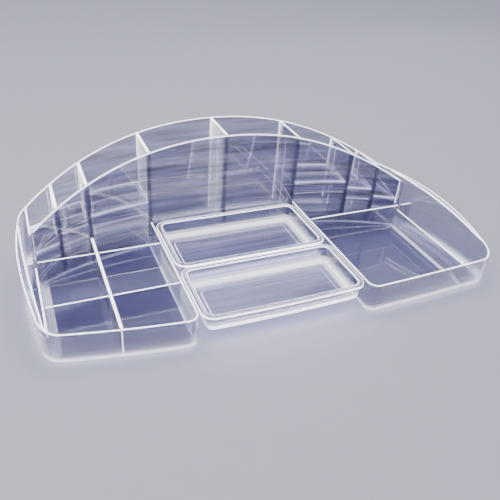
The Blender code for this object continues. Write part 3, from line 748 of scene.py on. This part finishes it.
def refine(node, name, sizes, ends=(UP,), lines=(), dim=(), sheet="divider_sheet", slot="panel_clear"):
    """Copy of one of the case's CAD nodes with its triangles joined and its edges rounded.

    Narrow faces that look along one of ends get a painted highlight, and so do rounded edges that look
    along one of lines.
    Both get painted shade instead, slate, where they look along dim, against a wall.
    """
    # bright faces take the glowing edge finish, a painted highlight, and slate ones the darker joint
    # finish, painted shade
    plain, bright, slate, rounded = range(4)
    builder = bmesh.new()
    builder.from_mesh(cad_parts[node].data)
    bmesh.ops.remove_doubles(builder, verts=builder.verts, dist=MERGE_DISTANCE)
    bmesh.ops.dissolve_limit(builder, angle_limit=FLAT_ANGLE, verts=builder.verts, edges=builder.edges)
    bmesh.ops.recalc_face_normals(builder, faces=builder.faces)
    for face in builder.faces:
        longest = max(edge.calc_length() for edge in face.edges)
        face.material_index = plain
        if face.calc_area() < longest * sizes.narrow_face:
            if looks_along(face, ends, FACE_COSINE):
                face.material_index = bright
            if looks_along(face, dim, FACE_COSINE):
                face.material_index = slate
    sharp = [edge for edge in builder.edges
             if len(edge.link_faces) == 2 and edge.calc_face_angle(0) > SHARP_ANGLE]
    made = bmesh.ops.bevel(builder, geom=sharp, offset=sizes.edge_round, segments=3, profile=0.5,
                           affect="EDGES", clamp_overlap=True)
    builder.normal_update()
    for face in made["faces"]:
        face.material_index = rounded
        if looks_along(face, lines, ROUND_COSINE):
            face.material_index = bright
        if looks_along(face, dim, ROUND_COSINE):
            face.material_index = slate
    bmesh.ops.triangulate(builder, faces=[face for face in builder.faces if len(face.verts) > 4])
    flats = [face for face in builder.faces if face.material_index == plain]
    # the rounded edges have the sheet's finish too, but shade as curved
    piece = mesh_object(name, builder, [sheet, "gathered_edge", "joined_edge", sheet], flats)
    attach(piece, "case", slot, node)


def build_tall_wall(sizes):
    """Curved wall between the tall bays and the wings, with a glowing line along its foot as painted
    highlight.
    """
    refine("tall_front_wall", "tall_wall_sheet", sizes, ends=(), lines=(DOWN,), sheet="streaked_wall")


def build_dividers(sizes):
    """Upright sheets, whose top edges glow as painted highlight. The tall ones run into the tall wall,
    where their front ends get painted shade.
    """
    for node in WAVY_DIVIDERS:
        refine(node, node + "_sheet", sizes, lines=(UP,), dim=(FRONT,), sheet="tall_sheet")
    for node in CLEAR_DIVIDERS:
        refine(node, node + "_sheet", sizes, lines=(UP,), dim=(FRONT,))
    for node in LOW_SHEETS:
        refine(node, node + "_sheet", sizes)
    refine("left_long_divider", "left_long_divider_sheet", sizes, ends=(UP, FRONT), lines=(UP,))
    for node in ("left_pocket_end", "right_pocket_end"):
        refine(node, node + "_sheet", sizes)
    build_panel_fillets(sizes)


def build_shelves(sizes):
    """Raised shelves, each with its lip, glowing edges and a glowing fillet along the back wall, as
    painted highlights.
    """
    for side in ("left", "right"):
        for bay in ("inner", "middle", "outer"):
            node = side + "_shelf_" + bay
            refine(node, node + "_step", sizes, lines=(UP, DOWN))
            low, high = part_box(node)
            line = []
            for x in spread(low.x + ORIGIN.x, high.x + ORIGIN.x, CORNER_STEPS):
                y = curve_face_y(x, BACK_Y, -(sizes.wall + sizes.shelf_fillet))
                line.append(place(Vector((x, y)), high.z - sizes.shelf_fillet))
            lay_bead(node + "_rear_fillet", line, sizes.shelf_fillet, "gathered_edge")


def build_rails(sizes):
    """Ledges on the bay walls that carry the trays."""
    for side in ("left", "right"):
        refine(side + "_rail", side + "_rail_ledge", sizes, ends=(), slot="case_clear")


# Trays

def tray_outline(prefix, sizes, inset):
    """A tray's outline in plan, that far inside its lip, anticlockwise, in the CAD frame."""
    low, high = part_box(prefix + "_rim")
    front_drop = 0.0
    if prefix == "front_tray":
        bow = (high.x - low.x) / 2 - sizes.tray_corner
        front_drop = bow ** 2 / (2 * sizes.tray_front_radius)
    low = low + Vector((inset, inset, 0))
    high = high - Vector((inset, inset, 0))
    radius = max(sizes.tray_corner - inset, sizes.tray_inner_corner)
    bow = (high.x - low.x) / 2 - radius
    middle = (low.x + high.x) / 2
    corner_y = low.y + front_drop
    points = []

    def arc(x, y, start):
        for turn in quarter_turn(CORNER_STEPS):
            angle = math.radians(start) + turn
            points.append(Vector((x + radius * math.cos(angle), y + radius * math.sin(angle))))

    arc(high.x - radius, high.y - radius, 0)
    arc(low.x + radius, high.y - radius, 90)
    arc(low.x + radius, corner_y + radius, 180)
    for step in range(1, FRONT_STEPS):
        x = bow * (2 * step / FRONT_STEPS - 1)
        y = low.y + (x ** 2 / (2 * sizes.tray_front_radius) if front_drop else 0.0)
        points.append(Vector((middle + x, y)))
    arc(high.x - radius, corner_y + radius, 270)
    return points


def tray_section(prefix, sizes):
    """A tray's section from under its floor round the lip to the top of its floor.

    Each point is its depth from the lip's outer edge, its height and the stretch that ends there.
    """
    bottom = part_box(prefix + "_pan")[0].z
    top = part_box(prefix + "_rim")[1].z
    lip = sizes.tray_lip
    foot = sizes.tray_foot
    half = sizes.tray_lip_thickness / 2
    rim_in = lip + sizes.tray_wall
    step_in = lip + foot + sizes.tray_step_inset
    # the parts name each stretch's finish in build_tray: edge gets a painted highlight, and the feet and
    # inner wall glow as painted highlights
    section = [(step_in + sizes.tray_step, bottom + sizes.tray_step, "edge"), (step_in, bottom, "edge")]
    for step, angle in enumerate(reversed(quarter_turn(FOOT_STEPS))):
        part = "outer foot" if step else "plain"
        section.append((lip + foot * (1 - math.cos(angle)), bottom + foot * (1 - math.sin(angle)), part))
    section.append((lip, top - 3 * half, "plain"))
    section.append((lip - half / 2, top - 2 * half, "plain"))
    for step, angle in enumerate(spread(-math.pi / 2, math.pi / 2, ROUND_STEPS)):
        part = "edge" if ROUND_STEPS / 2 <= step < ROUND_STEPS else "plain"
        section.append((half - half * math.cos(angle), top - half + half * math.sin(angle), part))
    for step, angle in enumerate(reversed(quarter_turn(ROUND_STEPS))):
        part = "edge" if 1 < step < ROUND_STEPS - 1 else "plain"
        section.append((rim_in - half + half * math.cos(angle), top - half + half * math.sin(angle),
                        part))
    inner = foot - sizes.tray_wall
    for step, angle in enumerate(quarter_turn(FOOT_STEPS)):
        part = "inner wall" if step else "plain"
        if step > FOOT_STEPS / 3:
            part = "inner foot"
        section.append((lip + foot - inner * math.cos(angle), bottom + foot - inner * math.sin(angle),
                        part))
    return section


def build_tray(prefix, sizes):
    """Shallow tray with a hanging lip, rounded outside and in, whose rounds, rim edges and floor glow as
    painted highlights, with a glowing bead in its foot as painted highlight.
    """
    # edge and the rounds take glowing finishes, painted highlights, and base the floor's painted glow
    plain, edge, rear_round, side_round, base, front_round = range(6)
    section = tray_section(prefix, sizes)
    builder = bmesh.new()
    rings = []
    for depth, z, _ in section:
        rings.append([builder.verts.new((*point, z)) for point in tray_outline(prefix, sizes, depth)])
    # the rear, side and front stretches of the rounds get painted highlights of different strength, as
    # they catch the light differently
    count = len(rings[0])
    for number, face in enumerate(skin(builder, rings)):
        ring, index = divmod(number, count)
        at_rear = CORNER_STEPS // 2 <= index <= CORNER_STEPS * 3 // 2
        at_front = CORNER_STEPS * 5 // 2 < index < count - CORNER_STEPS // 2
        looks = {"plain": plain, "edge": edge, "inner wall": side_round,
                 "inner foot": rear_round if at_rear else side_round,
                 "outer foot": front_round if at_front else side_round}
        face.material_index = looks[section[ring + 1][2]]
    under = builder.faces.new(rings[0])
    upper = builder.faces.new(list(reversed(rings[-1])))
    upper.material_index = base
    builder.normal_update()
    bmesh.ops.triangulate(builder, faces=[under, upper])
    bmesh.ops.recalc_face_normals(builder, faces=builder.faces)
    tray = mesh_object(prefix + "_moulding", builder,
                       ["tray", "gathered_edge", "tray_round", "rounded_foot", "tray_floor", "tray_front"],
                       level_faces(builder))
    attach(tray, prefix, "tray_clear", prefix + "_pan", prefix + "_rim")
    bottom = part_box(prefix + "_pan")[0].z
    depth = core_depth(sizes.tray_foot, sizes.foot_bead_radius)
    outline = tray_outline(prefix, sizes, sizes.tray_lip + depth)
    line = [Vector((*point, bottom + depth)) for point in outline]
    lay_bead(prefix + "_foot_bead", line, sizes.foot_bead_radius, "foot_core",
             slot="tray_clear", body=prefix, closed=True)


# Stage

def build_floor(tint):
    """Pale card under the box."""
    mesh = bpy.data.meshes.new("studio_floor")
    corners = [(x * FLOOR_REACH, y * FLOOR_REACH, 0) for x, y in ((-1, -1), (1, -1), (1, 1), (-1, 1))]
    mesh.from_pydata(corners, [], [(0, 1, 2, 3)])
    mesh.materials.append(studio_paper("uncoated_studio_card", tint))
    floor = add_object("studio_floor", mesh)
    floor.location.z = -FLOOR_GAP


def area_lamp(name, width, height, power):
    """Rectangular lamp that shines along its own -Z."""
    data = bpy.data.lights.new(name, "AREA")
    data.shape = "RECTANGLE"
    data.size = width
    data.size_y = height
    data.energy = power
    return add_object(name, data)


def softbox(name, location, width, height, power):
    """Rectangular lamp that is aimed at the box."""
    lamp = area_lamp(name, width, height, power)
    lamp.location = location
    lamp.rotation_euler = (-Vector(location)).to_track_quat("-Z", "Y").to_euler()


def build_lights():
    """Three softboxes, an even light from above and a slanted card."""
    softbox("softbox_back", (-0.2, 0.45, 1.6), 1.4, 0.6, 9.0)
    softbox("softbox_left", (-1.0, -0.2, 0.8), 0.8, 0.8, 4.0)
    softbox("softbox_top", (0.2, -0.1, 1.3), 1.0, 1.0, 4.0)
    # light bounced from the ceiling, even over the whole floor
    data = bpy.data.lights.new("ceiling_bounce", "SUN")
    data.energy = 0.9
    data.angle = math.radians(120)
    add_object("ceiling_bounce", data)
    # a weak slanted card whose mirror image lies on the floors of the trays and of the right wing
    card = area_lamp("reflector_card", 0.9, 0.6, 1.2)
    along = Vector((-math.cos(CARD_SLOPE), 0, math.sin(CARD_SLOPE)))
    above = Vector((math.sin(CARD_SLOPE), 0, math.cos(CARD_SLOPE)))
    turned = Matrix((along, above, Vector((0, 1, 0)))).transposed().to_4x4()
    card.matrix_world = Matrix.Translation(CARD_PLACE - ORIGIN) @ turned


def build_air():
    """Studio air, brightest overhead and darkest part of the way up, so the clear walls get outlines."""
    world = bpy.data.worlds.new("studio_air")
    world.use_nodes = True
    tree = world.node_tree
    sky = tree.nodes["Background"]
    sky.inputs["Strength"].default_value = 0.65
    spot = add_node(tree, "ShaderNodeTexCoord")
    parts = add_node(tree, "ShaderNodeSeparateXYZ", [(spot.outputs["Generated"], "Vector")])
    tints = add_ramp(tree, parts.outputs["Z"], (0.05, colour("#C4C5DA")), (0.4, colour("#A4A6C4")),
                     (0.9, colour("#FAFAFF")))
    tree.links.new(tints, sky.inputs["Color"])
    bpy.context.scene.world = world


def build_camera():
    """Camera at the photograph's place and angle, with its lens."""
    data = bpy.data.cameras.new("photo_camera")
    data.sensor_width = SENSOR_MM
    data.lens = LENS_PIXELS / PHOTO_WIDTH * SENSOR_MM
    camera = add_object("photo_camera", data)
    right = Vector((math.cos(CAMERA_TURN), -math.sin(CAMERA_TURN), 0))
    level = math.cos(CAMERA_DIP)
    ahead = Vector((math.sin(CAMERA_TURN) * level, math.cos(CAMERA_TURN) * level, -math.sin(CAMERA_DIP)))
    up = right.cross(ahead)
    across = right * math.cos(CAMERA_ROLL) + up * math.sin(CAMERA_ROLL)
    along = up * math.cos(CAMERA_ROLL) - right * math.sin(CAMERA_ROLL)
    turned = Matrix((across, along, -ahead)).transposed().to_4x4()
    camera.matrix_world = Matrix.Translation(CAMERA_PLACE - ORIGIN) @ turned
    bpy.context.scene.camera = camera


def build_stage(colours):
    """Pale floor, soft lights and the camera at the photograph's angle."""
    build_floor(tuple(colours.floor))
    build_lights()
    build_air()
    build_camera()


# Add-on

def length(name, description, default):
    """Length in metres that a user may change."""
    return bpy.props.FloatProperty(name=name, description=description, default=default, unit="LENGTH")


class StorageBoxSizes(bpy.types.PropertyGroup):
    """Sizes of the mouldings that a user may change."""
    wall: length("Wall", "Thickness of the case's walls", 0.0026)
    floor: length("Floor", "Thickness of the case's floor", 0.0030)
    foot_radius: length("Foot radius", "Radius between the walls and the underside", 0.0070)
    bead_radius: length("Bead radius", "Radius of the bead on the case's rim", 0.0005)
    bead_rise: length("Bead rise", "How far the rim's bead stands over the wall", 0.0002)
    tall_bead_radius: length("Tall bead", "Radius of the bead on the tall wall", 0.0006)
    # the glowing bead in the rounded foot is a painted highlight
    foot_bead_radius: length("Foot bead", "Bright core of the rounded foot", 0.0010)
    junction_radius: length("Fillet", "Fillet between tall dividers and the back", 0.0008)
    shelf_fillet: length("Shelf fillet", "Fillet between shelves and the back", 0.0009)
    joined_radius: length("Front fillet", "Fillet of dividers at the tall wall", 0.0024)
    left_panel_fillet: length("Left fillet", "Fillet along the left panel's foot", 0.0070)
    right_panel_fillet: length("Right fillet", "Fillet along the right panel's foot", 0.0022)
    grip_width: length("Grip width", "Widest part of the ends' grip ledges", 0.0045)
    grip_thickness: length("Grip thickness", "Thickness of the grip ledges", 0.0014)
    grip_start: length("Grip front", "Front end of the grip ledges in plan", -0.080)
    grip_end: length("Grip rear", "Rear end of the grip ledges in plan", 0.045)
    edge_round: length("Edge round", "Rounding of the dividers' edges", 0.0006)
    # narrow faces get the painted highlight
    narrow_face: length("Narrow face", "Faces narrower than this look bright", 0.0032)
    tray_wall: length("Tray wall", "Thickness of the trays' walls", 0.0020)
    tray_lip: length("Tray lip", "How far a tray's lip stands out", 0.0030)
    tray_lip_thickness: length("Lip thickness", "Thickness of a tray's lip", 0.0020)
    tray_corner: length("Tray corner", "Radius of a tray's corners in plan", 0.0110)
    tray_inner_corner: length("Inner corner", "Least radius of a tray's corners", 0.0035)
    tray_foot: length("Tray foot", "Radius between a tray's walls and its floor", 0.0070)
    tray_step: length("Tray step", "Height of the step in a tray's underside", 0.0005)
    tray_step_inset: length("Step inset", "From a tray's foot to that step", 0.0045)
    tray_front_radius: length("Tray front", "Bow of the front tray's front", 1.5)


class StorageBoxColours(bpy.types.PropertyGroup):
    """Colours that a user may change."""
    plastic: bpy.props.FloatVectorProperty(
        name="Plastic", description="Cast of the clear plastic",
        subtype="COLOR", size=4, default=colour("#9C9BC4"))
    # edge is the colour of the painted highlights and of the painted pale tall dividers
    edge: bpy.props.FloatVectorProperty(
        name="Edge", description="Colour of edges that gather light",
        subtype="COLOR", size=4, default=colour("#FBFBFF"))
    floor: bpy.props.FloatVectorProperty(
        name="Floor", description="Colour of the studio card",
        subtype="COLOR", size=4, default=colour("#C2C3D2"))


class STORAGEBOX_OT_case(bpy.types.Operator):
    """Builds the case's floor and walls, and the beads on its rims and its foot"""
    bl_idname = "storage_box.case"
    bl_label = "Case"

    def execute(self, context):
        build_case(context.scene.storage_box_sizes)
        return {"FINISHED"}


class STORAGEBOX_OT_grips(bpy.types.Operator):
    """Builds the crescent grip ledges inside the rims of both ends"""
    bl_idname = "storage_box.grips"
    bl_label = "Grips"

    def execute(self, context):
        build_grips(context.scene.storage_box_sizes)
        return {"FINISHED"}


class STORAGEBOX_OT_junctions(bpy.types.Operator):
    """Builds the fillets between the tall dividers, the back wall and the tall wall"""
    bl_idname = "storage_box.junctions"
    bl_label = "Junctions"

    def execute(self, context):
        build_junctions(context.scene.storage_box_sizes)
        return {"FINISHED"}


class STORAGEBOX_OT_tall_wall(bpy.types.Operator):
    """Builds the curved wall in front of the tall bays"""
    bl_idname = "storage_box.tall_wall"
    bl_label = "Tall wall"

    def execute(self, context):
        build_tall_wall(context.scene.storage_box_sizes)
        return {"FINISHED"}


class STORAGEBOX_OT_dividers(bpy.types.Operator):
    """Builds the upright dividers, the side panels and their fillets"""
    bl_idname = "storage_box.dividers"
    bl_label = "Dividers"

    def execute(self, context):
        build_dividers(context.scene.storage_box_sizes)
        return {"FINISHED"}


class STORAGEBOX_OT_shelves(bpy.types.Operator):
    """Builds the raised shelves in the tall bays"""
    bl_idname = "storage_box.shelves"
    bl_label = "Shelves"

    def execute(self, context):
        build_shelves(context.scene.storage_box_sizes)
        return {"FINISHED"}


class STORAGEBOX_OT_rails(bpy.types.Operator):
    """Builds the two ledges that the trays hang on"""
    bl_idname = "storage_box.rails"
    bl_label = "Rails"

    def execute(self, context):
        build_rails(context.scene.storage_box_sizes)
        return {"FINISHED"}


class STORAGEBOX_OT_trays(bpy.types.Operator):
    """Builds the two lift-out trays"""
    bl_idname = "storage_box.trays"
    bl_label = "Trays"

    def execute(self, context):
        for prefix in ("rear_tray", "front_tray"):
            build_tray(prefix, context.scene.storage_box_sizes)
        return {"FINISHED"}


class STORAGEBOX_OT_stage(bpy.types.Operator):
    """Builds the floor, the lights and the camera"""
    bl_idname = "storage_box.stage"
    bl_label = "Stage"

    def execute(self, context):
        build_stage(context.scene.storage_box_colours)
        return {"FINISHED"}


OPERATORS = (STORAGEBOX_OT_case, STORAGEBOX_OT_grips, STORAGEBOX_OT_tall_wall, STORAGEBOX_OT_dividers,
             STORAGEBOX_OT_junctions, STORAGEBOX_OT_shelves, STORAGEBOX_OT_rails, STORAGEBOX_OT_trays,
             STORAGEBOX_OT_stage)


class STORAGEBOX_PT_panel(bpy.types.Panel):
    """Lists the box's sizes and the buttons that build its pieces"""
    bl_label = "Storage box"
    bl_idname = "STORAGEBOX_PT_panel"
    bl_space_type = "VIEW_3D"
    bl_region_type = "UI"
    bl_category = "Storage box"

    def draw(self, context):
        layout = self.layout
        sizes = context.scene.storage_box_sizes
        for name in sizes.bl_rna.properties.keys():
            if name not in ("rna_type", "name"):
                layout.prop(sizes, name)
        for name in ("plastic", "edge", "floor"):
            layout.prop(context.scene.storage_box_colours, name)
        for operator in OPERATORS:
            layout.operator(operator.bl_idname)


CLASSES = (StorageBoxSizes, StorageBoxColours) + OPERATORS + (STORAGEBOX_PT_panel,)


def register():
    for item in CLASSES:
        bpy.utils.register_class(item)
    bpy.types.Scene.storage_box_sizes = bpy.props.PointerProperty(type=StorageBoxSizes)
    bpy.types.Scene.storage_box_colours = bpy.props.PointerProperty(type=StorageBoxColours)


def unregister():
    del bpy.types.Scene.storage_box_colours
    del bpy.types.Scene.storage_box_sizes
    for item in reversed(CLASSES):
        bpy.utils.unregister_class(item)


def main():
    register()
    bpy.ops.storage_box.case()
    bpy.ops.storage_box.grips()
    bpy.ops.storage_box.tall_wall()
    bpy.ops.storage_box.dividers()
    bpy.ops.storage_box.junctions()
    bpy.ops.storage_box.shelves()
    bpy.ops.storage_box.rails()
    bpy.ops.storage_box.trays()
    bpy.ops.storage_box.stage()


if __name__ == "__main__":
    main()
